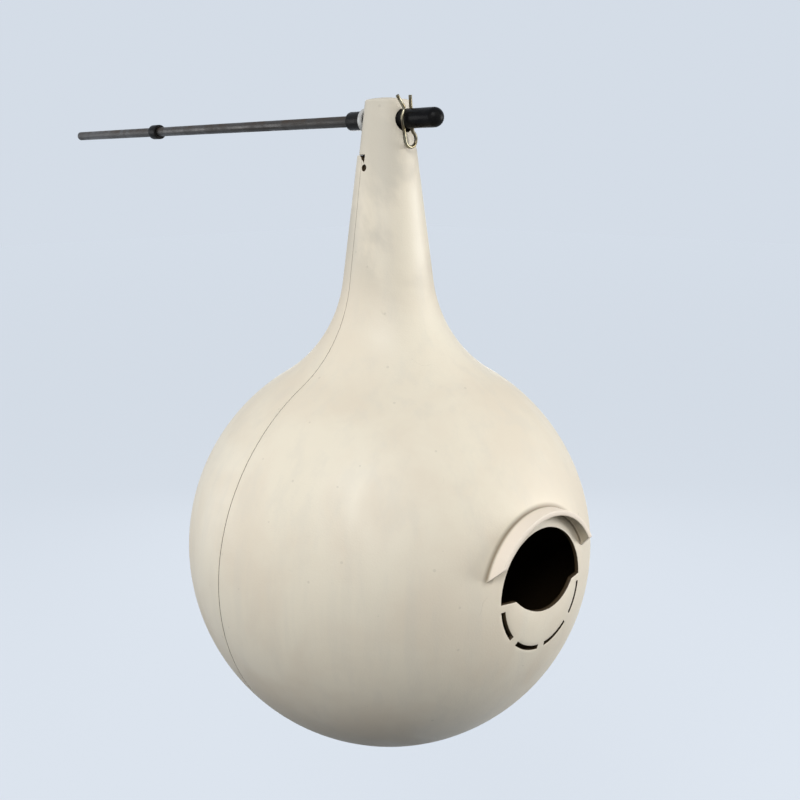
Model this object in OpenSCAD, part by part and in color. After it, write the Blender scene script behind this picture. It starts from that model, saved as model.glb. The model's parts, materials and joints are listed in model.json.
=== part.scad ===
// Gourd-shaped nest box for purple martins, hanging from one arm of a gourd rack.
// Millimetres. The arm runs along Y with its pole end at the origin, and the
// entrance faces -Y. The gourd hangs from the arm's sleeve, below z = 0.

/* [Globe] */
// Outside diameter of the round nest chamber
globe_d = 305; // [290:1:320]
// Thickness of the moulded shell
wall = 3; // [2.6:0.1:3.6]
// Radius of the hollow curve from the globe up into the neck
shoulder_r = 95; // [80:1:110]
// How much deeper that curve is cut than one that only touches the globe and neck
shoulder_bite = 0.03; // [0.02:0.01:0.06]

/* [Neck] */
// Outside diameter of the neck at the ledge
neck_d = 42.6; // [40:0.1:46]
// Half angle of the neck's taper, in degrees
neck_taper = 7.5; // [6.5:0.1:8]
// Height of the ledge above the globe's centre
ledge_h = 289; // [285:1:295]
// Height of the closed crown above the ledge
crown_rise = 39; // [37:1:46]
// How much narrower the crown is than the neck, on the radius
crown_inset = 0.7; // [0.7:0.1:1.2]
// How far the crown sits toward the entrance
crown_shift = 0.6; // [0:0.1:0.6]
// Radius of the crown's shallow dome
crown_dome_r = 70; // [50:1:120]
// Depth of plastic below the top of the crown
crown_t = 6; // [5:0.5:7]

/* [Halves] */
// How far the parting plane lies behind the neck's axis at the pivot
seam_back = 4; // [3:0.5:6]
// Lean of the parting plane, in degrees
seam_lean = 1.2; // [0:0.1:1.6]
// Open joint between the two halves
seam_gap = 0.6; // [0.4:0.1:1]
// Depth of the rear half's tongue inside the front half
tongue_depth = 5; // [3:0.5:6]
// Thickness of the tongue
tongue_t = 1.8; // [1.2:0.1:2.4]
// Play between the tongue and the front half
tongue_play = 0.6; // [0.4:0.1:0.8]
// Highest point of the tongue above the globe's centre
tongue_top = 165; // [140:1:175]
// Gap between the rear half and the ledge
ledge_gap = 0.6; // [0.4:0.1:1]

/* [Pivot] */
// How far the pivot holes lie below the ledge
pivot_drop = 9; // [7.5:0.5:12]
// Diameter of the pivot holes
pivot_hole_d = 5; // [4.6:0.1:5.4]
// Play around the pegs, on the radius
pivot_play = 0.3; // [0.2:0.05:0.4]
// How far the peg ends lie below the neck's surface
peg_recess = 2; // [1.5:0.1:2.4]
// How far the pivot holes lie in front of the parting plane
pivot_ahead = 3.5; // [3:0.1:4]
// Thickness of the ears inside the neck that carry the pegs
ear_t = 2.5; // [2:0.1:3]
// Height of the ears
ear_h = 8; // [7:0.5:9]
// Plastic of the ears in front of the pegs
ear_rim = 1; // [0.6:0.1:1.4]
// Start of the corner relief above the pivot's centre
relief_rise = 3.5; // [3:0.1:4]
// Slope of the corner relief, in degrees
relief_slope = 43; // [35:1:55]

/* [Entrance] */
// Diameter of the round entrance before the crescent is left in it
entrance_d = 84; // [80:1:88]
// Height of the entrance's centre above the globe's centre
entrance_h = 4.3; // [0:0.1:8]
// Radius of the crescent's upper edge
crescent_r = 41; // [38:0.5:43]
// Depth of the opening below the entrance's centre
crescent_dip = 13; // [11:0.5:15]
// Width of the slots around the crescent
slot_w = 3.1; // [2:0.1:3.4]
// Width of the strip between the slots and the opening
strip_w = 3; // [2.5:0.1:3.5]
// Number of slots around the crescent
slots = 4; // [3:1:6]
// Width of the bridges between the slots
bridge_w = 6.6; // [4:0.1:9]
// Width of plastic left beyond the first and the last slot
slot_end_w = 5.9; // [4:0.1:7]

/* [Rain visor] */
// Gap from the entrance's edge to the visor's underside
visor_gap = 9.4; // [8:0.1:12]
// Thickness of the visor
visor_t = 3.6; // [3:0.1:5]
// Depth of the visor in front of the globe's wall, at its underside
visor_depth = 8.5; // [6:0.5:14]
// Height of the visor's ends above the entrance's centre, at the globe
visor_end_h = 18.5; // [14:0.5:24]
// Slope of the cut at the visor's ends, in degrees
visor_end_slope = 44; // [20:1:50]

/* [Arm] */
// Distance from the arm's pole end to the neck's axis
reach = 450; // [400:1:600]
// Diameter of the arm's rod
rod_d = 8; // [7.5:0.1:9]
// Outside diameter of the black sleeve
sleeve_d = 13.5; // [12.8:0.1:14.2]
// Length of the sleeve behind the neck's axis
sleeve_back = 38; // [34:1:44]
// Length of the sleeve's straight part in front of the neck's axis
sleeve_front = 45.5; // [42:0.5:52]
// Plastic between the rod's end and the start of the sleeve's dome
sleeve_floor = 1.5; // [1:0.1:3]
// Rounding of the sleeve's rear edge
sleeve_round = 1.5; // [1:0.1:2]
// Diameter of the hole through the neck for the sleeve
neck_hole_d = 16; // [15.6:0.1:16.6]
// Height of that hole's centre above the ledge
neck_hole_rise = 23; // [22:0.5:24]
// Play above the sleeve where the neck hangs on it
hang_play = 0.2; // [0.1:0.05:0.3]

/* [Washer and stop collar] */
// Diameter of the washer behind the neck
washer_d = 18; // [17:0.5:20]
// Thickness of the washer
washer_t = 3.5; // [3:0.1:4]
// Play between the washer and the neck
washer_play = 0.3; // [0.2:0.1:0.6]
// Diameter of the stop collar on the rod
collar_d = 12.7; // [11.5:0.1:14]
// Length of the stop collar
collar_l = 11; // [8:0.5:16]
// Distance from the neck's axis to the stop collar's front face
collar_back = 299; // [280:1:330]

/* [Hitch pin] */
// Wire diameter of the hitch pin
wire_d = 2.4; // [2:0.1:2.6]
// Play of the wire in its hole, on the diameter
wire_play = 0.3; // [0.2:0.1:0.5]
// Gap between the neck and the hitch pin
pin_gap = 2; // [1.5:0.5:5]
// Length of the straight leg above the arm's axis
leg_up = 15.5; // [12:0.5:18]
// Length of the straight leg below the arm's axis
leg_down = 8; // [7.5:0.5:9]
// Radius of the wire's centre line around the eye
eye_r = 5.3; // [5:0.1:6]
// Sideways place of the eye's centre from the straight leg
eye_side = 2.15; // [1.5:0.05:3]
// Bend radius between the straight leg and the eye
bend_r = 4; // [3.5:0.1:5]
// Gap between the sprung leg and the sleeve
spring_gap = 0.8; // [0.5:0.1:1.2]
// Angle where the sprung leg starts and ends its wrap around the sleeve
wrap_end = 145; // [140:1:150]
// Bend radius of the sprung leg's flare
flare_r = 3; // [2.5:0.1:4]
// Length of the flared tail
tail_l = 9; // [6:0.5:11]
// Tilt of the hitch pin about the arm, in degrees
pin_tilt = 5; // [0:1:8]

/* [Hidden] */
$fn = 180;

cream = [0.88, 0.85, 0.78];
black = [0.06, 0.06, 0.06];
metal = [0.56, 0.55, 0.53];
white = [0.86, 0.87, 0.88];
zinc = [0.62, 0.57, 0.42];

globe_r = globe_d / 2;
neck_r = neck_d / 2;
rod_r = rod_d / 2;
sleeve_r = sleeve_d / 2;
far = 2 * globe_d;

// The neck's outward normal and its downward direction, in the (radius, height) plane
neck_normal = [cos(neck_taper), sin(neck_taper)];
neck_down = [sin(neck_taper), -cos(neck_taper)];
// Centre of the shoulder's curve, which meets both the neck and the globe
slide_start = [neck_r, ledge_h] + shoulder_r * neck_normal;
slide_dot = slide_start * neck_down;
slide = -slide_dot - sqrt(pow(slide_dot, 2) - slide_start * slide_start
                          + pow(globe_r + shoulder_r, 2));
shoulder_c = slide_start + slide * neck_down;

// Outside radius of the neck at height h
function neck_r_at(h) = neck_r + (ledge_h - h) * tan(neck_taper);

crown_h = ledge_h + crown_rise;
crown_r = neck_r - crown_inset;
function crown_r_at(h) = crown_r + (ledge_h - h) * tan(neck_taper);

neck_hole_h = ledge_h + neck_hole_rise;
// Height of the arm's axis above the globe's centre
hang_h = neck_hole_h + (neck_hole_d - sleeve_d) / 2 - hang_play;

// The pivot's place behind the neck's axis, and its height above the globe's centre
pivot_y = seam_back - pivot_ahead;
pivot_h = ledge_h - pivot_drop;
// Front faces of the ears, and their sides, which clear the front half's wall
ear_front = pivot_y - pivot_hole_d / 2 - ear_rim;
ear_x = sqrt(pow(neck_r_at(pivot_h + ear_h / 2) - wall / cos(neck_taper), 2) - pow(ear_front, 2))
    - pivot_play;
relief_h = pivot_h + relief_rise;
relief_l = (ledge_h - relief_h) / tan(relief_slope);

crescent_h = crescent_r - crescent_dip;
entrance_r = entrance_d / 2;
slot_span = 180 / slots;
// Angles that half a bridge and the plastic beyond the end slots take up around the entrance
bridge_a = bridge_w / 2 / entrance_r * 180 / PI;
slot_end_a = slot_end_w / entrance_r * 180 / PI;

visor_in_r = entrance_r + visor_gap;
visor_r = visor_in_r + visor_t;
visor_root = sqrt(pow(globe_r, 2) - pow(visor_in_r, 2));

washer_y = crown_r_at(hang_h - washer_d / 2) - crown_shift + washer_play;
wire_r = wire_d / 2;
wire_sides = 16;
wire_step = 12;
wrap_r = sleeve_r + spring_gap + wire_r;
// How far the eye's centre lies below the straight leg, and the pin's place in front of the neck
eye_drop = sqrt(pow(bend_r + eye_r, 2) - pow(bend_r + eye_side, 2));
pin_low = leg_down + eye_drop + eye_r + wire_r;
pin_out = crown_shift + crown_r_at(hang_h - pin_low) + pin_gap + wire_r;

// Places the globe's centre below the arm, at the end of its reach
module hang() translate([0, -reach, -hang_h]) children();

// Turns a shape drawn in (x, z) so that it is extruded along Y, from y0 over length l
module along_y(y0, l) translate([0, y0 + l, 0]) rotate([90, 0, 0]) linear_extrude(l) children();

// A round piece along the arm: its profile is drawn as (radius, distance in front of the neck)
module along_arm() translate([0, -reach, 0]) rotate([90, 0, 0]) rotate_extrude() children();

// The gourd's outline in (radius, height), moved inward by inset, up to the ledge
module outline(inset) {
    r = globe_r - inset;
    s = shoulder_r + inset;
    difference() {
        union() {
            intersection() {
                circle(r);
                translate([0, -far]) square([far, 2 * far]);
            }
            polygon([[0, 0], shoulder_c * r / (globe_r + shoulder_r), shoulder_c,
                     shoulder_c - s * neck_normal,
                     [neck_r - inset / cos(neck_taper), ledge_h], [0, ledge_h]]);
        }
        translate(shoulder_c) circle(s + shoulder_bite);
    }
}

// A skin of the gourd between two insets
module skin(outer, inner) rotate_extrude() difference() {
    outline(outer);
    outline(inner);
}

// Everything from distance y0 to y1 behind the parting plane, up to height top
module seam_slab(y0, y1, top = far)
    translate([0, seam_back, pivot_h]) rotate([seam_lean, 0, 0])
        translate([-far, y0, -far - pivot_h]) cube([2 * far, y1 - y0, far + top]);

// The closed top of the neck, in one with the front half
module crown() translate([0, -crown_shift, 0]) rotate_extrude() difference() {
    intersection() {
        polygon([[0, ledge_h], [crown_r, ledge_h], [crown_r_at(crown_h), crown_h], [0, crown_h]]);
        translate([0, crown_h - crown_dome_r]) circle(crown_dome_r);
    }
    crown_bore();
}

module crown_bore() {
    top = crown_h - crown_t;
    side = wall / cos(neck_taper);
    polygon([[0, ledge_h - wall], [crown_r_at(ledge_h - wall) - side, ledge_h - wall],
             [crown_r_at(top) - side, top], [0, top]]);
}

// The open part of the entrance: half the round hole and the dip in the crescent
module entrance_open() translate([0, entrance_h]) union() {
    intersection() {
        circle(entrance_r);
        translate([-far, 0]) square(2 * far);
    }
    intersection() {
        translate([0, crescent_h]) circle(crescent_r);
        circle(entrance_r - slot_w - strip_w);
    }
}

// The slots that let the crescent be broken out
module entrance_slots() translate([0, entrance_h]) for (i = [0 : slots - 1])
    intersection() {
        difference() {
            circle(entrance_r);
            circle(entrance_r - slot_w);
        }
        polygon([[0, 0],
                 for (a = [i == 0 ? slot_end_a : bridge_a, slot_span / 2,
                           slot_span - (i == slots - 1 ? slot_end_a : bridge_a)])
                     2 * entrance_r * [cos(180 + i * slot_span + a), sin(180 + i * slot_span + a)]]);
    }

// The half-round visor over the entrance, cut to seat inside the front half's wall
module rain_visor() difference() {
    along_y(-visor_root - visor_depth, globe_r) translate([0, entrance_h]) difference() {
        circle(visor_r);
        circle(visor_in_r);
        translate([-far, -2 * far]) square([2 * far, 2 * far]);
    }
    translate([0, -visor_root, entrance_h + visor_end_h]) rotate([-visor_end_slope, 0, 0])
        translate([-far, -far, -far]) cube([2 * far, 2 * far, far]);
    sphere(globe_r - wall / 2);
}

// Round holes through both walls of the neck for the arm's sleeve
module sleeve_hole() along_y(-neck_d, 2 * neck_d) translate([0, neck_hole_h]) circle(d = neck_hole_d);

// The pivot line through both sides of the neck
module pivot_bar(d, x0, x1) for (side = [-1, 1]) translate([side * x0, pivot_y, pivot_h])
    rotate([0, side * 90, 0]) cylinder(d = d, h = x1 - x0);

// The front half of the gourd with the whole crown, the entrance and its visor
module front_shell() color(cream) hang() difference() {
    union() {
        intersection() {
            skin(0, wall);
            seam_slab(-far, -seam_gap / 2);
        }
        crown();
        rain_visor();
    }
    along_y(-far, far - globe_r / 2) union() {
        entrance_open();
        entrance_slots();
    }
    sleeve_hole();
    pivot_bar(pivot_hole_d, neck_r / 2, neck_d);
}

// The corner cut off the rear half above its pegs, so that it can be tipped out
module corner_relief() rotate([0, -90, 0]) rotate([0, 0, 90]) translate([0, 0, -neck_d])
    linear_extrude(2 * neck_d)
        polygon([[0, relief_h], [seam_back, relief_h], [seam_back + relief_l, ledge_h], [0, ledge_h]]);

// Ears inside the neck with the pegs that sit in the front half's pivot holes
module ears() {
    intersection() {
        for (x = [-ear_x, ear_x - ear_t]) translate([x, ear_front, pivot_h - ear_h / 2])
            cube([ear_t, neck_d, ear_h]);
        rotate_extrude() outline(wall / 2);
    }
    pivot_bar(pivot_hole_d - 2 * pivot_play, ear_x - ear_t, neck_r_at(pivot_h) - peg_recess);
}

// The rear half, with the tongue that snaps inside the front half and two pivot pegs
module rear_shell() color(cream) hang() union() {
    difference() {
        intersection() {
            skin(0, wall);
            seam_slab(seam_gap / 2, far);
        }
        corner_relief();
        translate([-far, -far, ledge_h - ledge_gap]) cube(2 * far);
    }
    intersection() {
        skin(wall - tongue_play, wall + tongue_play + tongue_t);
        seam_slab(seam_gap / 2, tongue_depth, tongue_top);
    }
    intersection() {
        skin(wall + tongue_play, wall + tongue_play + tongue_t);
        seam_slab(-tongue_depth, tongue_depth, tongue_top);
    }
    ears();
}

module pin_hole() translate([0, -reach - pin_out, 0]) rotate([0, -pin_tilt, 0])
    cylinder(d = wire_d + wire_play, h = 2 * sleeve_d, center = true);

// The arm: one straight rod from the pole to the inside of the sleeve
module arm_rod() color(metal) difference() {
    along_arm() translate([0, -reach]) square([rod_r, reach + sleeve_front - sleeve_floor]);
    pin_hole();
}

// The black sleeve over the arm's end, closed by a dome
module arm_sleeve() color(black) difference() {
    along_arm() difference() {
        union() {
            translate([0, sleeve_round - sleeve_back])
                square([sleeve_r, sleeve_front + sleeve_back - sleeve_round]);
            translate([0, -sleeve_back]) square([sleeve_r - sleeve_round, 2 * sleeve_round]);
            translate([sleeve_r - sleeve_round, sleeve_round - sleeve_back]) circle(sleeve_round);
            intersection() {
                translate([0, sleeve_front]) circle(sleeve_r);
                translate([0, sleeve_front]) square(sleeve_d);
            }
        }
        translate([0, -reach]) square([rod_r, reach + sleeve_front - sleeve_floor]);
    }
    pin_hole();
}

module ring(r_in, r_out, y0, l) along_arm() translate([r_in, y0]) square([r_out - r_in, l]);

// The white washer between the sleeve's rear end and the neck
module rear_washer() color(white) ring(sleeve_r, washer_d / 2, -washer_y - washer_t, washer_t);

// The black stop collar farther back on the arm
module stop_collar() color(black) ring(rod_r, collar_d / 2, -collar_back - collar_l, collar_l);

function polar(c, r, a) = c + r * [cos(a), sin(a)];

// Points along an arc, after its first one
function arc(c, r, a0, a1) =
    let (n = ceil(abs(a1 - a0) / wire_step))
    [for (i = [1 : n]) polar(c, r, a0 + (a1 - a0) * i / n)];

// Direction of a path at its point i
function heading(path, i) =
    let (v = path[min(i + 1, len(path) - 1)] - path[max(i - 1, 0)]) v / norm(v);

// A round wire along a path of (x, z) points
module wire(path) {
    last = len(path) - 1;
    rings = [for (i = [0 : last]) let (t = heading(path, i)) for (k = [0 : wire_sides - 1])
        let (u = wire_r * cos(360 * k / wire_sides))
        [path[i][0] + u * t[1], wire_r * sin(360 * k / wire_sides), path[i][1] - u * t[0]]];
    polyhedron(rings, concat(
        [[for (k = [0 : wire_sides - 1]) wire_sides - 1 - k]],
        [for (i = [0 : last - 1], k = [0 : wire_sides - 1]) let (n = (k + 1) % wire_sides)
            [i * wire_sides + k, i * wire_sides + n, (i + 1) * wire_sides + n, (i + 1) * wire_sides + k]],
        [[for (k = [0 : wire_sides - 1]) last * wire_sides + k]]));
}

// The hitch pin that keeps the gourd on the sleeve: a straight leg through the
// sleeve, an eye below it and a sprung leg around it
module hitch_pin() {
    eye_c = [-eye_side, -leg_down - eye_drop];
    bend_a = atan2(eye_drop, bend_r + eye_side);
    // The sprung leg runs straight from the eye to the wrap around the sleeve
    touch_a = atan2(-eye_c[1], -eye_c[0]) + asin((wrap_r - eye_r) / norm(eye_c)) + 90;
    flare_c = polar(polar([0, 0], wrap_r, wrap_end), flare_r, wrap_end);
    tail_start = polar(flare_c, flare_r, 180 - wrap_end);
    color(zinc) translate([0, -reach - pin_out, 0]) rotate([0, -pin_tilt, 0]) wire(concat(
        [[0, leg_up], [0, -leg_down]],
        arc([bend_r, -leg_down], bend_r, 180, 180 + bend_a),
        arc(eye_c, eye_r, bend_a, touch_a - 360),
        [polar([0, 0], wrap_r, touch_a)],
        arc([0, 0], wrap_r, touch_a, wrap_end),
        arc(flare_c, flare_r, wrap_end - 180, 180 - wrap_end),
        [polar(tail_start, tail_l, 270 - wrap_end)]));
}

front_shell();
rear_shell();
arm_rod();
arm_sleeve();
rear_washer();
stop_collar();
hitch_pin();
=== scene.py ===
import json
import math

import bmesh
import bpy
from mathutils import Matrix, Vector


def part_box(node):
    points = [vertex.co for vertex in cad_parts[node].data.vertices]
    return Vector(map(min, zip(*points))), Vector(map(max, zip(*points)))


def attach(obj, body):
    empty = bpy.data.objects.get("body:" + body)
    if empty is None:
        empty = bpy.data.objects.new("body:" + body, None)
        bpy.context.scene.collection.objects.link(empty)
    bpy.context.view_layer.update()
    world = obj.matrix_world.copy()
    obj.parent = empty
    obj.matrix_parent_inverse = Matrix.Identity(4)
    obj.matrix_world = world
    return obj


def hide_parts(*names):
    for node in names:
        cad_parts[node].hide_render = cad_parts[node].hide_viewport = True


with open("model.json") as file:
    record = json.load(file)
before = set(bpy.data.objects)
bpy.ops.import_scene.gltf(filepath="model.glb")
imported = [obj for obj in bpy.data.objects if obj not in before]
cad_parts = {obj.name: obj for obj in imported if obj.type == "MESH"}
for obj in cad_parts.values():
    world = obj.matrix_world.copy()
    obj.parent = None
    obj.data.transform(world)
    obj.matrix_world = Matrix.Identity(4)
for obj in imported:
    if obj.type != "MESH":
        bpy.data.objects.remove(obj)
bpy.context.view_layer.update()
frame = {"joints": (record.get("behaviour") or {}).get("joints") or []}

UP, ALONG = Vector((0, 0, 1)), Vector((0, 1, 0))


# ARM ROD. A straight 8 mm steel rod that runs from the rack's hub at the pole to just inside
# the closed end of the black sleeve. It is drawn, cut to length and left bare, so it has faint
# lengthwise draw marks, and years outdoors have darkened it with brown streaks.

def turned(corners, steps=72):
    """A round piece on the arm's axis, turned from its corners as (radius, y)."""
    bm = bmesh.new()
    outline = [bm.verts.new((radius, y, 0)) for radius, y in corners]
    edges = [bm.edges.new(pair) for pair in zip(outline, outline[1:])]
    if corners[0][0] > 0:
        edges.append(bm.edges.new((outline[-1], outline[0])))
    bmesh.ops.spin(bm, geom=outline + edges, axis=ALONG, angle=math.tau, steps=steps, use_merge=True)
    bmesh.ops.remove_doubles(bm, verts=bm.verts, dist=1e-6)
    bmesh.ops.recalc_face_normals(bm, faces=bm.faces)
    return bm


def soften(bm, width, edges=None, segments=2, sharper=30):
    """Rounds the given edges, or every outer edge sharper than that angle."""
    if edges is None:
        limit = math.radians(sharper)
        edges = [e for e in bm.edges if e.is_manifold and e.is_convex and e.calc_face_angle() > limit]
    bmesh.ops.bevel(bm, geom=edges, offset=width, segments=segments, profile=0.5,
                    affect="EDGES", material=-1, clamp_overlap=False)


def piece(bm, name, body, material, stands_for=()):
    """Makes the finished piece, which rides on its body and takes the place of its plain solid."""
    mesh = bpy.data.meshes.new(name)
    bm.to_mesh(mesh)
    bm.free()
    mesh.shade_smooth()
    mesh.set_sharp_from_angle(angle=math.radians(40))
    made = bpy.data.objects.new(name, mesh)
    bpy.context.scene.collection.objects.link(made)
    mesh.materials.append(material)
    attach(made, body)
    if stands_for:
        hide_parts(*stands_for)


def node(tree, kind, inputs, **settings):
    """Adds a node with these settings, and sets or links its inputs."""
    made = tree.nodes.new("ShaderNode" + kind)
    for key, value in settings.items():
        setattr(made, key, value)
    for key, value in inputs.items():
        if isinstance(value, bpy.types.NodeSocket):
            tree.links.new(value, made.inputs[key])
        else:
            made.inputs[key].default_value = value
    return made


def blend(tree, factor, first, second):
    """Mixes two colours, or linked colours, and returns the result's socket."""
    return node(tree, "Mix", {0: factor, 6: first, 7: second}, data_type="RGBA").outputs[2]


def level(tree, value, start, stop, low=0.0, high=1.0):
    """A smooth step in a linked value between start and stop."""
    return node(tree, "MapRange", {"Value": value, 1: start, 2: stop, 3: low, 4: high},
                interpolation_type="SMOOTHSTEP").outputs[0]


def math_node(tree, operation, first, second=0.0):
    return node(tree, "Math", {0: first, 1: second}, operation=operation).outputs[0]


def times(tree, first, second):
    return math_node(tree, "MULTIPLY", first, second)


def along_axis(tree, vector, axis):
    return node(tree, "SeparateXYZ", {0: vector}).outputs[axis]


def noise(tree, place, scale, detail, roughness=0.5, distortion=0.0):
    return node(tree, "TexNoise", {"Vector": place, "Scale": scale, "Detail": detail,
                                   "Roughness": roughness, "Distortion": distortion}).outputs[0]


def finish(name, **inputs):
    """A Principled material with these constant inputs, its tree, shader and place on the object."""
    material = bpy.data.materials.new(name)
    material.use_nodes = True
    tree = material.node_tree
    shader = tree.nodes["Principled BSDF"]
    for key, value in inputs.items():
        shader.inputs[key.replace("_", " ")].default_value = value
    return material, tree, shader, node(tree, "TexCoord", {}).outputs["Object"]


# Outdoor wear that the plastics and the steel share, as masks from 0 to 1: broad patches, streaks,
# round specks, thin curved scuffs and a fine grain.
weather = bpy.data.node_groups.new("weathering", "ShaderNodeTree")
for name, kind in (("Vector", "Vector"), ("Patch Scale", "Float"), ("Streak Scale", "Vector"),
                   ("Speck Scale", "Float"), ("Scuff Scale", "Float"), ("Grain Scale", "Float")):
    weather.interface.new_socket(name, in_out="INPUT", socket_type="NodeSocket" + kind)
for name in ("Patches", "Streaks", "Specks", "Scuffs", "Grain"):
    weather.interface.new_socket(name, in_out="OUTPUT", socket_type="NodeSocketFloat")
given = weather.nodes.new("NodeGroupInput").outputs
result = weather.nodes.new("NodeGroupOutput").inputs
spot = given["Vector"]

patches = noise(weather, spot, given["Patch Scale"], 5.0, roughness=0.55, distortion=0.4)
stretched = node(weather, "VectorMath", {0: spot, 1: given["Streak Scale"]}, operation="MULTIPLY").outputs[0]
streaks = noise(weather, stretched, 1.0, 4.0, roughness=0.6)

# Each cell has one speck, and most specks are too small to show.
speck_max_r = 0.1
cells = node(weather, "TexVoronoi", {"Vector": spot, "Scale": given["Speck Scale"], "Randomness": 1.0})
speck_r = node(weather, "SeparateColor", {"Color": cells.outputs["Color"]}).outputs[0]
specks = math_node(weather, "SUBTRACT", times(weather, speck_r, speck_max_r), cells.outputs["Distance"])

# Scuffs follow the noise's middle contour, and are kept only where a second noise is high.
contour = math_node(weather, "SUBTRACT", noise(weather, spot, given["Scuff Scale"], 1.0), 0.5)
contour = level(weather, math_node(weather, "ABSOLUTE", contour), 0.002, 0.007, 1.0, 0.0)
elsewhere = node(weather, "VectorMath", {0: spot, 1: (3.1, 1.7, 2.3)}, operation="ADD").outputs[0]
kept = level(weather, noise(weather, elsewhere, given["Scuff Scale"], 2.0), 0.66, 0.71)

grain = noise(weather, spot, given["Grain Scale"], 3.0)
for name, mask in (("Patches", level(weather, patches, 0.36, 0.66)),
                   ("Streaks", level(weather, streaks, 0.45, 0.7)),
                   ("Specks", level(weather, specks, 0.0, 0.03)),
                   ("Scuffs", times(weather, contour, kept)), ("Grain", grain)):
    weather.links.new(mask, result[name])


def wear(tree, place, patch, streak, speck, scuff, grain):
    """Places the weathering in a material at its own scales, each per metre. Returns its outputs."""
    made = node(tree, "Group", {}, node_tree=weather)
    for key, value in (("Patch Scale", patch), ("Streak Scale", streak), ("Speck Scale", speck),
                       ("Scuff Scale", scuff), ("Grain Scale", grain)):
        made.inputs[key].default_value = value
    tree.links.new(place, made.inputs["Vector"])
    return made.outputs


def spoiled(tree, marks):
    """Where either a speck or a scuff is."""
    return math_node(tree, "MAXIMUM", marks["Specks"], marks["Scuffs"])


def roughen(tree, shader, height, distance):
    """Gives a material a fine relief, in metres."""
    bump = node(tree, "Bump", {"Height": height, "Distance": distance, "Strength": 1.0})
    tree.links.new(bump.outputs[0], shader.inputs["Normal"])


rod_low, rod_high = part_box("arm_rod")
rod_r, rod_edge = 0.004, 0.0005
rod = turned([(0, rod_low.y), (rod_r, rod_low.y), (rod_r, rod_high.y), (0, rod_high.y)], steps=48)
soften(rod, rod_edge)
steel, tree, shader, place = finish("weathered_steel", Metallic=0.75)
dark_steel, brown_streak = (0.06, 0.058, 0.056, 1), (0.03, 0.026, 0.022, 1)
rust, rust_pit = (0.06, 0.04, 0.026, 1), (0.012, 0.01, 0.009, 1)
marks = wear(tree, place, patch=45, streak=(260, 9, 260), speck=160, scuff=90, grain=700)
drawn = node(tree, "VectorMath", {0: place, 1: (2600, 30, 2600)}, operation="MULTIPLY").outputs[0]
draw_marks = noise(tree, drawn, 1.0, 3.0)
on_top = level(tree, along_axis(tree, place, "Z"), -0.001, 0.0038)
rusty = times(tree, on_top, math_node(tree, "MAXIMUM", marks["Patches"], 0.35))
colour = blend(tree, marks["Streaks"], dark_steel, brown_streak)
colour = blend(tree, rusty, colour, rust)
colour = blend(tree, marks["Specks"], colour, rust_pit)
tree.links.new(colour, shader.inputs["Base Color"])
tree.links.new(level(tree, marks["Patches"], 0, 1, 0.4, 0.62), shader.inputs["Roughness"])
roughen(tree, shader, math_node(tree, "ADD", draw_marks, marks["Streaks"]), 0.00006)
piece(rod, "rod", "arm", steel, ["arm_rod"])


# STOP COLLAR. A short black plastic ring pushed onto the rod, which keeps the next gourd from
# sliding along the arm. It is moulded, with rounded rims and a faint sheen.

collar_low, collar_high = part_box("stop_collar")
collar_r, collar_rim = collar_high.z, 0.0008
collar = turned([(rod_r, collar_low.y), (collar_r, collar_low.y),
                 (collar_r, collar_high.y), (rod_r, collar_high.y)])
soften(collar, collar_rim, segments=3)
black, tree, shader, place = finish("black_plastic", Specular_IOR_Level=0.05)
deep_black, faded_black = (0.004, 0.004, 0.0045, 1), (0.012, 0.0115, 0.011, 1)
worn_grey = (0.05, 0.047, 0.043, 1)
marks = wear(tree, place, patch=60, streak=(150, 20, 150), speck=170, scuff=110, grain=1200)
colour = blend(tree, marks["Patches"], deep_black, faded_black)
colour = blend(tree, spoiled(tree, marks), colour, worn_grey)
tree.links.new(colour, shader.inputs["Base Color"])
tree.links.new(level(tree, marks["Patches"], 0, 1, 0.26, 0.44), shader.inputs["Roughness"])
roughen(tree, shader, marks["Grain"], 0.00002)
piece(collar, "collar", "arm", black, ["stop_collar"])


# ARM SLEEVE. A black moulded cap pushed over the arm's end, on which the gourd's neck hangs. It
# is open at the back and has a domed front end. The hitch pin's hole, which goes down through it, is not cut
# here.

sleeve_low, sleeve_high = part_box("arm_sleeve")
sleeve_r, sleeve_rim, bore_depth, dome_step = sleeve_high.z, 0.0012, 0.01, 6
dome_y = sleeve_low.y + sleeve_r
bore_end = sleeve_high.y - bore_depth
dome = [(sleeve_r * math.sin(math.radians(a)), dome_y - sleeve_r * math.cos(math.radians(a)))
        for a in range(0, 90, dome_step)]
sleeve = turned(dome + [(sleeve_r, dome_y), (sleeve_r, sleeve_high.y), (rod_r, sleeve_high.y),
                        (rod_r, bore_end), (0, bore_end)])
soften(sleeve, sleeve_rim, segments=3, sharper=50)
piece(sleeve, "sleeve", "arm", black, ["arm_sleeve"])


# REAR WASHER. A greyish white plastic spacer on the sleeve, between the neck and the sleeve's
# rear end. It keeps the gourd from sliding back and rides loosely with rounded rims.

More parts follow.
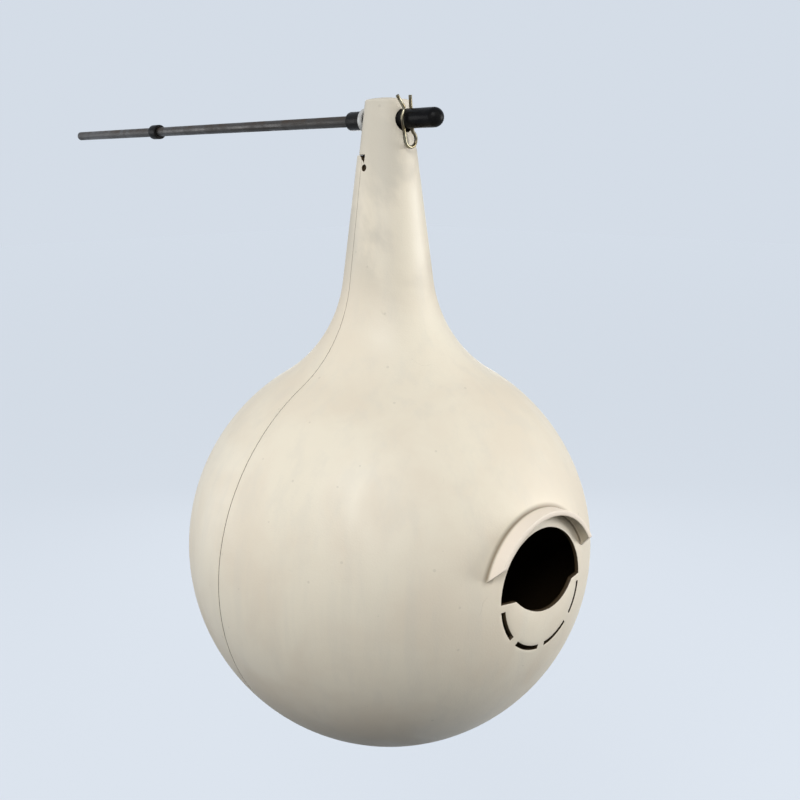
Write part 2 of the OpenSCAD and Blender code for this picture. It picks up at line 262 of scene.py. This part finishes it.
washer_low, washer_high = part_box("rear_washer")
washer_rim = 0.0006
washer = turned([(sleeve_r, washer_low.y), (washer_high.z, washer_low.y),
                 (washer_high.z, washer_high.y), (sleeve_r, washer_high.y)])
soften(washer, washer_rim, segments=3)
white, tree, shader, place = finish("white_plastic")
clean_white, dull_white = (0.5, 0.51, 0.51, 1), (0.38, 0.38, 0.37, 1)
washed_dirt, ground_in_dirt = (0.3, 0.29, 0.26, 1), (0.2, 0.19, 0.17, 1)
marks = wear(tree, place, patch=90, streak=(140, 140, 30), speck=220, scuff=120, grain=1100)
colour = blend(tree, marks["Patches"], clean_white, dull_white)
colour = blend(tree, times(tree, marks["Streaks"], 0.5), colour, washed_dirt)
colour = blend(tree, spoiled(tree, marks), colour, ground_in_dirt)
tree.links.new(colour, shader.inputs["Base Color"])
tree.links.new(level(tree, marks["Streaks"], 0, 1, 0.42, 0.6), shader.inputs["Roughness"])
roughen(tree, shader, marks["Grain"], 0.00008)
piece(washer, "washer", "arm", white, ["rear_washer"])


# REAR HALF. The back of the gourd, moulded in cream plastic about 3 mm thick. A tongue inside its
# front edge snaps into the front half, and two pegs near the top of its neck sit in the front
# half's pivot holes. The corners above the pegs are cut off so that the half can be tipped out.

globe_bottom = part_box("front_shell")[0].z
globe_r, wall, edge_r = 0.1525, 0.003, 0.0003
axis_y = frame["joints"][0]["pos_m"][1]
middle = Vector((0, axis_y, globe_bottom + globe_r))
neck_r, neck_taper, ledge = 0.0213, math.radians(7.5), 0.289
shoulder = Vector((0.12722, 0, 0.2123))
pivot = Vector((0.0225, 0.0005, 0.28))
entrance = Vector((0, 0, 0.0043))
seam_at, seam_lean = Vector((0, 0.004, 0.28)), math.radians(1.2)
seam_gap, seam_spread = 0.00003, math.radians(0.043)
seam_normal = Vector((0, math.cos(seam_lean), math.sin(seam_lean)))


def seam_face(way):
    """A point of one half's seam face and its normal. The gap widens down from the neck."""
    lean = seam_lean + way * seam_spread
    normal = Vector((0, -way * math.cos(lean), -way * math.sin(lean)))
    return seam_at + seam_normal * way * seam_gap / 2, normal


def gourd_skin(inset, top, steps=144):
    """The gourd's surface as far inside the outer one as inset says, up to a height above its middle."""
    bm = bmesh.new()
    meet = math.atan2(shoulder.z, shoulder.x)
    first = bm.verts.new((0, 0, inset - globe_r))
    bmesh.ops.spin(bm, geom=[first], axis=-ALONG, angle=meet + math.pi / 2, steps=60)
    globe_end = max(bm.verts, key=lambda v: v.co.z)
    bmesh.ops.spin(bm, geom=[globe_end], cent=shoulder, axis=ALONG, angle=meet - neck_taper, steps=18)
    neck_start = max(bm.verts, key=lambda v: v.co.z)
    neck_top = Vector((neck_r - inset / math.cos(neck_taper), 0, ledge))
    rise, neck_rows = neck_top - neck_start.co, 30
    for _ in range(neck_rows):
        neck_start = bmesh.ops.extrude_vert_indiv(bm, verts=[neck_start])["verts"][0]
        neck_start.co += rise / neck_rows
    bmesh.ops.spin(bm, geom=bm.verts[:] + bm.edges[:], axis=UP, angle=math.tau, steps=steps, use_merge=True)
    bmesh.ops.remove_doubles(bm, verts=bm.verts, dist=1e-6)
    bmesh.ops.recalc_face_normals(bm, faces=bm.faces)
    trim(bm, Vector((0, 0, top)), UP)
    return bm


def once_each(parts):
    """Parts of a mesh without repeats, in the same order each time."""
    return list(dict.fromkeys(parts))


def split(bm, point, normal, within=lambda p: True):
    """Cuts the faces whose middle lies within a region along a plane. Returns the new edges' corners."""
    faces = [f for f in bm.faces if within(f.calc_center_median())]
    edges = once_each(e for f in faces for e in f.edges)
    geom = faces + edges + once_each(v for e in edges for v in e.verts)
    cut = bmesh.ops.bisect_plane(bm, geom=geom, dist=1e-6, plane_co=point, plane_no=normal)["geom_cut"]
    return [g for g in cut if isinstance(g, bmesh.types.BMVert)]


def trim(bm, point, normal, within=lambda p: True, snug=0.0007):
    """Cuts away what lies beyond a plane, and draws in the grid's corners that it passes closely."""
    rim = split(bm, point, normal, within)
    centres = [(f, f.calc_center_median()) for f in bm.faces]
    beyond = [f for f, centre in centres if within(centre) and (centre - point).dot(normal) > 0]
    bmesh.ops.delete(bm, geom=beyond, context="FACES")
    rim = [v for v in rim if v.is_valid]
    close = [v for v in bm.verts if rim and abs((v.co - point).dot(normal)) < snug]
    close.sort(key=lambda v: v.co.to_tuple())
    near = bmesh.ops.find_doubles(bm, verts=close, keep_verts=rim, dist=snug)
    bmesh.ops.weld_verts(bm, targetmap=near["targetmap"])


def darken(bm, faces=()):
    """Marks these faces to be painted dark brown, as painted shade."""
    inner = bm.faces.layers.float.get("painted_dark_inside") or bm.faces.layers.float.new("painted_dark_inside")
    for f in faces or bm.faces:
        f[inner] = 1.0


def thicken(bm, thickness):
    """Gives a skin its thickness, inward, and marks the new inside and wall faces for the painted dark shade.
    Returns the skin's corners.
    """
    bm.faces.layers.float.new("painted_dark_inside")
    skin = set(bm.verts)
    bmesh.ops.solidify(bm, geom=bm.faces[:], thickness=thickness)
    if bm.calc_volume(signed=True) < 0:
        bmesh.ops.reverse_faces(bm, faces=bm.faces)
    darken(bm, [f for f in bm.faces if any(v not in skin for v in f.verts)])
    return skin


ledge_gap = 0.0003
rear = gourd_skin(0, ledge - ledge_gap)
trim(rear, *seam_face(1))
notch, notch_rise, notch_lean = Vector((0, 0.001, 0.2834)), math.radians(42.4), math.radians(4)
notch_floor = Vector((0, -math.sin(notch_rise), math.cos(notch_rise)))
trim(rear, notch, notch_floor, snug=0.0003)
thicken(rear, wall)
soften(rear, edge_r)
bmesh.ops.translate(rear, verts=rear.verts, vec=middle)

cream, tree, shader, place = finish("cream_plastic")
marks = wear(tree, place, patch=13, streak=(75, 75, 6), speck=75, scuff=32, grain=900)
height = along_axis(tree, place, "Z")
colour = blend(tree, marks["Patches"], (0.78, 0.72, 0.59, 1), (0.735, 0.66, 0.535, 1))

# Rain streaks all over, a greyer crown, and smudges on the neck.
colour = blend(tree, times(tree, marks["Streaks"], 0.28), colour, (0.66, 0.62, 0.53, 1))
colour = blend(tree, level(tree, height, -0.06, 0.005, 0.0, 0.55), colour, (0.58, 0.53, 0.44, 1))
smudged = times(tree, level(tree, height, -0.135, -0.075), level(tree, marks["Patches"], 0.3, 0.9))
colour = blend(tree, times(tree, smudged, 0.6), colour, (0.56, 0.53, 0.45, 1))
dirt = math_node(tree, "MAXIMUM", marks["Specks"], times(tree, marks["Scuffs"], 0.5))
colour = blend(tree, times(tree, dirt, 0.2), colour, (0.3, 0.27, 0.21, 1))

# The visor stands proud of the globe. Its faces are painted lighter and pinker than the globe, as painted
# light, and its underside on the right is painted dark olive, as painted shade.
away = node(tree, "VectorMath", {0: place, 1: middle}, operation="SUBTRACT").outputs[0]
outward = node(tree, "VectorMath", {0: away}, operation="LENGTH").outputs["Value"]
proud = level(tree, outward, globe_r + 0.001, globe_r + 0.003)
colour = blend(tree, times(tree, proud, level(tree, height, -0.2, -0.22)), colour, (0.85, 0.755, 0.64, 1))
around = node(tree, "VectorMath", {0: away, 1: entrance}, operation="SUBTRACT").outputs[0]
around = node(tree, "VectorMath", {0: around, 1: (1, 0, 1)}, operation="MULTIPLY").outputs[0]
around = node(tree, "VectorMath", {0: around}, operation="LENGTH").outputs["Value"]
# Painted shade, dark olive, under the visor on its right side.
under = times(tree, proud, level(tree, around, 0.0516, 0.0522, 0.6, 0.0))
under = times(tree, under, level(tree, along_axis(tree, place, "X"), 0.0, 0.035))
colour = blend(tree, under, colour, (0.36, 0.31, 0.19, 1))

# A dark brown band is painted in the corner where the visor leaves the globe, as painted contact shade and
# settled dirt.
corner = times(tree, level(tree, around, 0.0495, 0.0513), level(tree, around, 0.0548, 0.0585, 1.0, 0.0))
corner = times(tree, corner, level(tree, outward, globe_r + 0.0003, globe_r + 0.002, 1.0, 0.0))
above = level(tree, along_axis(tree, away, "Z"), 0.019, 0.026)
front_side = level(tree, along_axis(tree, away, "Y"), -0.05, -0.1)
corner = times(tree, times(tree, corner, above), front_side)
colour = blend(tree, times(tree, corner, 0.85), colour, (0.25, 0.195, 0.13, 1))

# The inside, the walls of the holes and the seam, and the parts inside the gourd are painted dark brown, as
# painted shade.
inner = node(tree, "Attribute", {}, attribute_name="painted_dark_inside").outputs["Fac"]
colour = blend(tree, inner, colour, (0.045, 0.028, 0.011, 1))
tree.links.new(colour, shader.inputs["Base Color"])
tree.links.new(level(tree, marks["Patches"], 0, 1, 0.46, 0.6), shader.inputs["Roughness"])
roughen(tree, shader, math_node(tree, "SUBTRACT", marks["Grain"], marks["Scuffs"]), 0.0001)
piece(rear, "rear_half", "gourd", cream, ["rear_shell"])

# The tongue is a thin band inside both halves, 5 mm to each side of the seam. It is painted dark all over, as
# painted shade.
tongue_gap, tongue_t, tongue_reach, tongue_top = 0.0006, 0.0018, 0.005, 0.165
tongue = gourd_skin(wall + tongue_gap, tongue_top)
trim(tongue, seam_at - seam_normal * tongue_reach, -seam_normal)
trim(tongue, seam_at + seam_normal * tongue_reach, seam_normal)
thicken(tongue, tongue_t)
darken(tongue)
bmesh.ops.translate(tongue, verts=tongue.verts, vec=middle)
piece(tongue, "rear_tongue", "gourd", cream)

# The pegs stand on two flat ears inside the neck. They are painted dark all over, as painted shade.
peg_r, peg_end = 0.0022, 0.020485
ear_x, ear_y, ear_t, ear_w, ear_h = 0.01839, 0.0025, 0.0025, 0.011, 0.008
ears = bmesh.new()
for side in (-1, 1):
    peg_l = peg_end - ear_x + ear_t
    at = Matrix.Translation((side * (peg_end - peg_l / 2), pivot.y, pivot.z))
    bmesh.ops.create_cone(ears, cap_ends=True, segments=32, radius1=peg_r, radius2=peg_r, depth=peg_l,
                          matrix=at @ Matrix.Rotation(math.pi / 2, 4, "Y"))
    at = Matrix.Translation((side * (ear_x - ear_t / 2), ear_y, pivot.z))
    bmesh.ops.create_cube(ears, size=1, matrix=at @ Matrix.Diagonal((ear_t, ear_w, ear_h, 1)))
soften(ears, edge_r)
darken(ears)
bmesh.ops.translate(ears, verts=ears.verts, vec=middle)
piece(ears, "rear_ears", "gourd", cream)


# FRONT HALF. The front of the gourd, moulded in one with the whole closed crown, the round
# entrance with its break-out crescent, and the half-round rain visor over it. The arm's sleeve
# goes through the two holes in the crown, and the rear half's top edge tucks under its ledge.

def sweep(bm, edges, moved):
    """Adds a row of faces to open edges, and puts each of its new points where moved says."""
    made = bmesh.ops.extrude_edge_only(bm, edges=edges)["geom"]
    verts = [g for g in made if isinstance(g, bmesh.types.BMVert)]
    for v in verts:
        v.co = moved(v.co)
    return [g for g in made if isinstance(g, bmesh.types.BMEdge) and all(v in verts for v in g.verts)], verts


def ring_hole(bm, centre, along, radii, surface, steps, margin):
    """Puts rings of faces around a round hole in place of the grid there, and leaves it open."""
    behind, far = -0.015, 1

    def off(point):
        away = point - centre
        ahead = away.dot(along)
        return (away - along * ahead).length if ahead > behind else far
    open_before = {e for e in bm.edges if e.is_boundary}
    near = [f for f in bm.faces if min(off(v.co) for v in f.verts) < radii[-1] + margin]
    bmesh.ops.delete(bm, geom=near, context="FACES")
    border = [e for e in bm.edges if e.is_boundary and e not in open_before]
    turn = along.to_track_quat("Z", "Y").to_matrix().to_4x4()
    ring = bmesh.ops.create_circle(bm, segments=steps, radius=radii[0],
                                   matrix=Matrix.Translation(centre) @ turn)["verts"]
    edges = once_each(e for v in ring for e in v.link_edges)
    rings = [ring]
    for before, radius in zip(radii, radii[1:]):
        edges, ring = sweep(bm, edges, lambda p: centre + (p - centre) * (radius / before))
        rings.append(ring)
    for v in sum(rings, []):
        v.co = surface(v.co)
    border = sorted(edges + border, key=lambda e: sorted(v.co.to_tuple() for v in e.verts))
    filled = bmesh.ops.triangle_fill(bm, edges=border, use_beauty=True, normal=along)["geom"]
    bmesh.ops.beautify_fill(bm, faces=[g for g in filled if isinstance(g, bmesh.types.BMFace)],
                            edges=[g for g in filled if isinstance(g, bmesh.types.BMEdge)], method="ANGLE")
    return rings


def crown_r(height):
    """The neck's and the crown's outer radius, on one straight taper."""
    return neck_r + (ledge - height) * math.tan(neck_taper)


def crown_at(p, radius, height):
    """A point of the crown, which goes on from the neck in front and is drawn in behind the seam."""
    flat = Vector((p.x, p.y, 0)).normalized()
    behind = min(max((flat.y - 0.25) / 0.45, 0), 1)
    smooth = behind * behind * (3 - 2 * behind)
    return flat * radius * (1 - drawn_in * smooth) + UP * height


def on_globe(p, inset=0):
    return Vector((p.x, -math.sqrt((globe_r - inset) ** 2 - p.x ** 2 - p.z ** 2), p.z))


def on_crown(p, inset=0):
    radius = crown_r(p.z) * (1 - drawn_in if p.y > 0 else 1) - inset
    return Vector((p.x, math.copysign(math.sqrt(radius ** 2 - p.x ** 2), p.y), p.z))


def on_neck(p, inset=0):
    radius = crown_r(p.z) - inset
    return Vector((math.copysign(math.sqrt(radius ** 2 - p.y ** 2), p.x), p.y, p.z))


# The crown is put on the skin, above the pivot holes, before the seam and the notch are cut.
front = gourd_skin(0, ledge + 1)
pin_hole_r, pin_ring_r = 0.0023, 0.0033
for side in (-1, 1):
    ring_hole(front, Vector((side * pivot.x, pivot.y, pivot.z)), Vector((side, 0, 0)),
              [pin_hole_r, pin_ring_r], on_neck, 24, 0.0004)
crown_top, crown_dome, drawn_in = 0.328, 0.07, 0.061
first_row, last_row, crown_rows = 0.0012, 0.0015, 12
edges = [e for e in front.edges if e.is_boundary and all(abs(v.co.z - ledge) < 1e-6 for v in e.verts)]

# The rim's height, where the neck's taper meets the dome, settles within a few rounds.
rim_h, rounds = crown_top, 20
for _ in range(rounds):
    rim_h = crown_top - crown_dome + math.sqrt(crown_dome ** 2 - crown_r(rim_h) ** 2)
rise = rim_h - last_row - ledge - first_row
heights = [ledge + first_row + rise * i / crown_rows for i in range(crown_rows + 1)]
crown = [(crown_r(h), h) for h in [ledge] + heights + [rim_h]]
crown += [(r, crown_top - crown_dome + math.sqrt(crown_dome ** 2 - r * r)) for r in (0.0138, 0.01, 0.005)]
for r, h in crown:
    edges, _ = sweep(front, edges, lambda p: crown_at(p, r, h))
lid = bmesh.ops.contextual_create(front, geom=edges)["faces"]
peak = bmesh.ops.poke(front, faces=lid)["verts"][0]
peak.co.z = crown_top
bmesh.ops.remove_doubles(front, verts=front.verts, dist=1e-6)


def on_the_neck(p):
    return p.z < ledge + 1e-6


def in_the_notch(p):
    return on_the_neck(p) and p.y > notch_front and (p - notch).dot(notch_floor) > 0


notch_front, notch_low = -0.003, 0.275
notch_wall = Vector((0, math.cos(notch_lean), math.sin(notch_lean)))
trim(front, *seam_face(-1), on_the_neck, snug=0.0004)
split(front, notch, notch_floor, lambda p: on_the_neck(p) and p.y > notch_front and p.z > notch_low)
trim(front, notch, notch_wall, in_the_notch, snug=0.0003)

entrance_r, visor_in, visor_out, rings_end = 0.042, 0.0514, 0.055, 0.063
ring_radii = [entrance_r, 0.0445, 0.048, visor_in, visor_out, 0.0585, rings_end]
rings = ring_hole(front, entrance, -ALONG, ring_radii, on_globe, 144, 0.004)


def angle_of(v):
    """Angle around the entrance, from its right side, seen from the front."""
    return math.degrees(math.atan2(v.co.z - entrance.z, v.co.x)) % 360


def turned_by(p, angle):
    return entrance + Matrix.Rotation(math.radians(-angle), 3, "Y") @ (p - entrance)


slot_w, strip_w, slots = 0.0031, 0.003, ((187.5, 220), (230, 265), (275, 310), (320, 352.5))
cres_r, cres_h = 0.041, 0.028
low = [v for v in rings[0] if angle_of(v) > 179.9 or angle_of(v) < 0.1]


def reach(target):
    """Moves a point toward the entrance's middle, or away from it, to the radius target gives."""
    def moved(p):
        flat = Vector((p.x, 0, p.z - entrance.z))
        sine = flat.z / flat.length
        return on_globe(entrance + flat * (target(sine) / flat.length))
    return moved


def crescent_edge(sine):
    return cres_h * sine + math.sqrt(cres_r ** 2 - cres_h ** 2 * (1 - sine ** 2))


edges = [e for e in front.edges if e.is_boundary and all(v in low for v in e.verts)]
edges, slot_verts = sweep(front, edges, reach(lambda sine: entrance_r - slot_w))
slot_faces = once_each(f for v in slot_verts for f in v.link_faces)
edges, _ = sweep(front, edges, reach(lambda sine: entrance_r - slot_w - strip_w))
sweep(front, edges, reach(crescent_edge))
open_faces = []
for f in slot_faces:
    if f.is_valid:
        c = f.calc_center_median()
        around = math.degrees(math.atan2(c.z - entrance.z, c.x)) % 360
        if any(start < around < stop for start, stop in slots):
            open_faces.append(f)
bmesh.ops.delete(front, geom=open_faces, context="FACES")

hole_h, hole_r, hole_y = 0.312, 0.008, 0.017
for way in (-1, 1):
    ring_hole(front, Vector((0, way * hole_y, hole_h)), ALONG * way,
              [hole_r, 0.0087, 0.0115], on_crown, 48, 0.0004)

bmesh.ops.recalc_face_normals(front, faces=front.faces)
skin = thicken(front, wall)

# The walls of the holes run straight in, so the inner corners move to face the outer ones.
thin = (globe_r - wall) / globe_r
near_entrance, near_arm_hole, near_pin_hole = 0.0455, 0.009, pin_hole_r + 0.0002
for v in front.verts:
    if v in skin:
        continue
    p = v.co
    if p.y < 0 and math.hypot(p.x / thin, p.z / thin - entrance.z) < near_entrance:
        v.co = on_globe(Vector((p.x / thin, 0, p.z / thin)), wall)
    wide = Vector((p.x * crown_r(p.z) / (crown_r(p.z) - wall), p.y, p.z + wall * math.sin(neck_taper)))
    if p.z > ledge and math.hypot(wide.x, wide.z - hole_h) < near_arm_hole:
        v.co = on_crown(wide, wall)
    if notch_low < p.z < ledge:
        r = crown_r(p.z)
        wide = Vector((p.x, p.y * r / (r - wall), p.z + wall * math.sin(neck_taper)))
        if math.hypot(wide.y - pivot.y, wide.z - pivot.z) < near_pin_hole:
            v.co = on_neck(wide, wall)

visor_root = math.sqrt(globe_r ** 2 - visor_in ** 2)
visor_depth, end_h, end_slope = 0.0085, 0.0185, math.radians(44)
visor_front = -visor_root - visor_depth


def end_angle(v, y):
    """Angle at which the visor's end lies at this point's distance from the middle, at depth y."""
    rise = end_h + (-y - visor_root) * math.tan(end_slope)
    return math.degrees(math.asin(rise / math.hypot(v.co.x, v.co.z - entrance.z)))


grid_end, visor_faces = 20, []
for f in front.faces:
    c = f.calc_center_median()
    r = math.hypot(c.x, c.z - entrance.z)
    a = math.degrees(math.atan2(c.z - entrance.z, c.x))
    if c.y < 0 and c.length > globe_r - 0.001 and visor_in < r < visor_out and grid_end < a < 180 - grid_end:
        visor_faces.append(f)
for v in rings[ring_radii.index(visor_in)] + rings[ring_radii.index(visor_out)]:
    if abs(90 - angle_of(v)) - (90 - grid_end) < 0.1:
        shift = (grid_end - end_angle(v, v.co.y)) / (90 - grid_end)
        v.co = on_globe(turned_by(v.co, (angle_of(v) - 90) * shift))
made = bmesh.ops.extrude_face_region(front, geom=visor_faces)["geom"]
bmesh.ops.delete(front, geom=visor_faces, context="FACES")
for v in (g for g in made if isinstance(g, bmesh.types.BMVert)):
    root_end, front_end = end_angle(v, v.co.y), end_angle(v, visor_front)
    v.co = turned_by(v.co, (angle_of(v) - 90) * (root_end - front_end) / (90 - root_end))
    v.co.y = visor_front
front.normal_update()
crown_rim = [e for e in front.edges if e.is_manifold and e.calc_face_angle() > math.radians(40)
             and all(abs(v.co.z - rim_h) < 1e-5 for v in e.verts)]
crown_edge_r = 0.001
soften(front, crown_edge_r, crown_rim, segments=3)
soften(front, edge_r)

# The entrance with its visor and crescent is set a little askew, with its right side lower.
askew, fading = -1.4, 0.0045
for v in front.verts:
    away = math.hypot(v.co.x, v.co.z - entrance.z)
    if v.co.y < 0 and away < rings_end:
        v.co = turned_by(v.co, askew * min((rings_end - away) / fading, 1))

# A lip inside the crown stands behind the gap over the rear half. It is painted dark all over, as painted
# shade.
lip_in, lip_out, lip_low, lip_high = 0.0158, 0.0173, 0.2846, 0.297
lip_corners = ((lip_in, lip_low), (lip_out, lip_low), (lip_out, lip_high), (lip_in, lip_high))
lip = [front.verts.new((r, 0, h)) for r, h in lip_corners]
lip_edges = [front.edges.new(pair) for pair in zip(lip, lip[1:] + lip[:1])]
shell = set(front.faces)
bmesh.ops.spin(front, geom=lip + lip_edges, axis=UP, angle=math.tau, steps=72, use_merge=True)
lip_faces = [f for f in front.faces if f not in shell]
bmesh.ops.recalc_face_normals(front, faces=lip_faces)
darken(front, lip_faces)
bmesh.ops.translate(front, verts=front.verts, vec=middle)
piece(front, "front_half", "gourd", cream, ["front_shell"])


# HITCH PIN. A spring clip of 2.4 mm zinc-plated wire. Its straight leg drops through the sleeve and
# the rod in front of the neck, its sprung leg wraps the sleeve, and the eye below is for pulling it.

pin_low, pin_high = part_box("hitch_pin")
wire_r = 0.0012
pin_y = (pin_low.y + pin_high.y) / 2
wrap_gap, flare_r, tail_l = 0.0008, 0.003, 0.009
wrap_r = sleeve_r + wrap_gap + wire_r
eye_r, bend_r, leg_up, leg_down, eye_side = 0.0053, 0.004, 0.0155, 0.0068, 0.00215
eye_drop = math.sqrt((bend_r + eye_r) ** 2 - (bend_r + eye_side) ** 2)
eye = Vector((-eye_side, -leg_down - eye_drop))
bend_end = math.atan2(eye_drop, bend_r + eye_side)
touch = math.atan2(-eye.y, -eye.x) + math.asin((wrap_r - eye_r) / eye.length) + math.pi / 2
wrap_end = math.radians(145)


def arc(centre, radius, start, end, step=math.radians(8)):
    """Points on an arc, both ends with it."""
    count = math.ceil(abs(end - start) / step)
    return [Vector(centre) + radius * Vector((math.cos(a), math.sin(a)))
            for a in (start + (end - start) * i / count for i in range(count + 1))]


def heading_to(angle):
    return Vector((math.cos(angle), math.sin(angle)))


# The wire is drawn from the top of the straight leg to the end of the sprung one, seen from the front.
flare = heading_to(wrap_end) * (wrap_r + flare_r)
tail = flare + flare_r * heading_to(math.pi - wrap_end)
path = ([Vector((0, leg_up)), Vector((0, 0))] + arc((bend_r, -leg_down), bend_r, math.pi, math.pi + bend_end)
        + arc(eye, eye_r, bend_end, touch - math.tau) + arc((0, 0), wrap_r, touch, wrap_end)
        + arc(flare, flare_r, wrap_end - math.pi, math.pi - wrap_end)
        + [tail + tail_l * heading_to(1.5 * math.pi - wrap_end)])
curve = bpy.data.curves.new("hitch_pin_wire", "CURVE")
curve.dimensions = "3D"
curve.bevel_depth, curve.bevel_resolution, curve.use_fill_caps = wire_r, 5, True
spline = curve.splines.new("POLY")
spline.points.add(len(path) - 1)
pin_tilt = math.radians(-5)
tilt = Matrix.Rotation(pin_tilt, 4, "Y")
for point, at in zip(spline.points, path):
    point.co = (*(tilt @ Vector((at.x, 0, at.y)) + Vector((0, pin_y, 0))), 1)
wire = bpy.data.objects.new("clip_wire", curve)
bpy.context.scene.collection.objects.link(wire)
pin_mesh = bpy.data.meshes.new_from_object(wire.evaluated_get(bpy.context.evaluated_depsgraph_get()))
bpy.data.objects.remove(wire)
pin = bmesh.new()
pin.from_mesh(pin_mesh)
bmesh.ops.remove_doubles(pin, verts=pin.verts, dist=1e-6)
zinc, tree, shader, place = finish("yellow_zinc", Metallic=1.0)
marks = wear(tree, place, patch=160, streak=(300, 300, 60), speck=500, scuff=200, grain=2000)
bright_zinc, yellow_film, tarnish = (0.27, 0.25, 0.18, 1), (0.14, 0.11, 0.055, 1), (0.045, 0.035, 0.025, 1)
tarnished = math_node(tree, "MAXIMUM", marks["Specks"], marks["Streaks"])
colour = blend(tree, marks["Patches"], bright_zinc, yellow_film)
colour = blend(tree, tarnished, colour, tarnish)
tree.links.new(colour, shader.inputs["Base Color"])
tree.links.new(level(tree, marks["Streaks"], 0, 1, 0.25, 0.5), shader.inputs["Roughness"])
roughen(tree, shader, marks["Grain"], 0.00003)
piece(pin, "clip", "arm", zinc, ["hitch_pin"])


# FLOOR AND LIGHT. A plain pale floor and backdrop under a faint dome of light, with four broad
# lamps: a high one in front, two low ones that graze the gourd's sides, and a weak one behind it.

floor_z, floor_reach = -1.0, 12
bm = bmesh.new()
bmesh.ops.create_grid(bm, x_segments=1, y_segments=1, size=floor_reach)
bmesh.ops.translate(bm, verts=bm.verts, vec=(0, 0, floor_z))
mesh = bpy.data.meshes.new("floor")
bm.to_mesh(mesh)
bm.free()
floor = bpy.data.objects.new("floor", mesh)
bpy.context.scene.collection.objects.link(floor)


def seen(tree):
    """1 for what the camera sees, directly or in gloss or glass, and 0 for the light on the object."""
    ray = node(tree, "LightPath", {}).outputs
    mirrored = math_node(tree, "MAXIMUM", ray["Is Glossy Ray"], ray["Is Transmission Ray"])
    return math_node(tree, "MAXIMUM", ray["Is Camera Ray"], mirrored)


paper, tree, shader, _ = finish("pale_floor", Roughness=0.9, Emission_Strength=1.0)
unseen_floor, pale_blue = (0.03, 0.03, 0.03, 1), (0.12, 0.124, 0.132, 1)
no_glow, pale_glow = (0, 0, 0, 1), (0.584, 0.639, 0.71, 1)
tree.links.new(blend(tree, seen(tree), unseen_floor, pale_blue), shader.inputs["Base Color"])
tree.links.new(blend(tree, seen(tree), no_glow, pale_glow), shader.inputs["Emission Color"])
mesh.materials.append(paper)

world = bpy.data.worlds.new("studio")
bpy.context.scene.world = world
world.use_nodes = True
tree = world.node_tree
rise = along_axis(tree, node(tree, "TexCoord", {}).outputs["Generated"], "Z")
faint, backdrop = level(tree, rise, -0.12, 0.12, 0.05, 0.27), (0.66, 0.72, 0.8, 1)
sky = blend(tree, seen(tree), node(tree, "CombineColor", {0: faint, 1: faint, 2: faint}).outputs[0], backdrop)
tree.links.new(sky, tree.nodes["Background"].inputs["Color"])


def lamp(name, place, toward, size, power, colour=(1, 1, 1)):
    light = bpy.data.lights.new(name, "AREA")
    light.shape, light.size, light.energy, light.color = "DISK", size, power, colour
    made = bpy.data.objects.new(name, light)
    made.location = place
    made.rotation_euler = (Vector(toward) - Vector(place)).to_track_quat("-Z", "Y").to_euler()
    bpy.context.scene.collection.objects.link(made)


lamp("high_front", (-1.44, -1.32, 1.1), middle, 1.2, 35)
lamp("low_left", (-1.28, 1.31, -0.01), middle, 1.2, 14)
lamp("low_right", (1.7, -1.82, -0.12), middle, 1.2, 36, (1, 0.99, 0.97))
lamp("low_back", (1.52, 1.13, -0.15), middle, 1.2, 8)

camera = bpy.data.cameras.new("camera")
camera.lens, camera.sensor_width, camera.shift_x = 45.12, 36, 0.0144
view = bpy.data.objects.new("camera", camera)
view.location = (-0.5083, -0.9776, -0.0329)
heading, pitch, roll = math.radians(43.91), math.radians(13.05), math.radians(-0.33)
sight = Vector((math.sin(heading) * math.cos(pitch), math.cos(heading) * math.cos(pitch), -math.sin(pitch)))
view.rotation_euler = (sight.to_track_quat("-Z", "Y").to_matrix() @ Matrix.Rotation(roll, 3, "Z")).to_euler()
bpy.context.scene.collection.objects.link(view)
bpy.context.scene.camera = view
bpy.context.scene.view_settings.view_transform = "Standard"
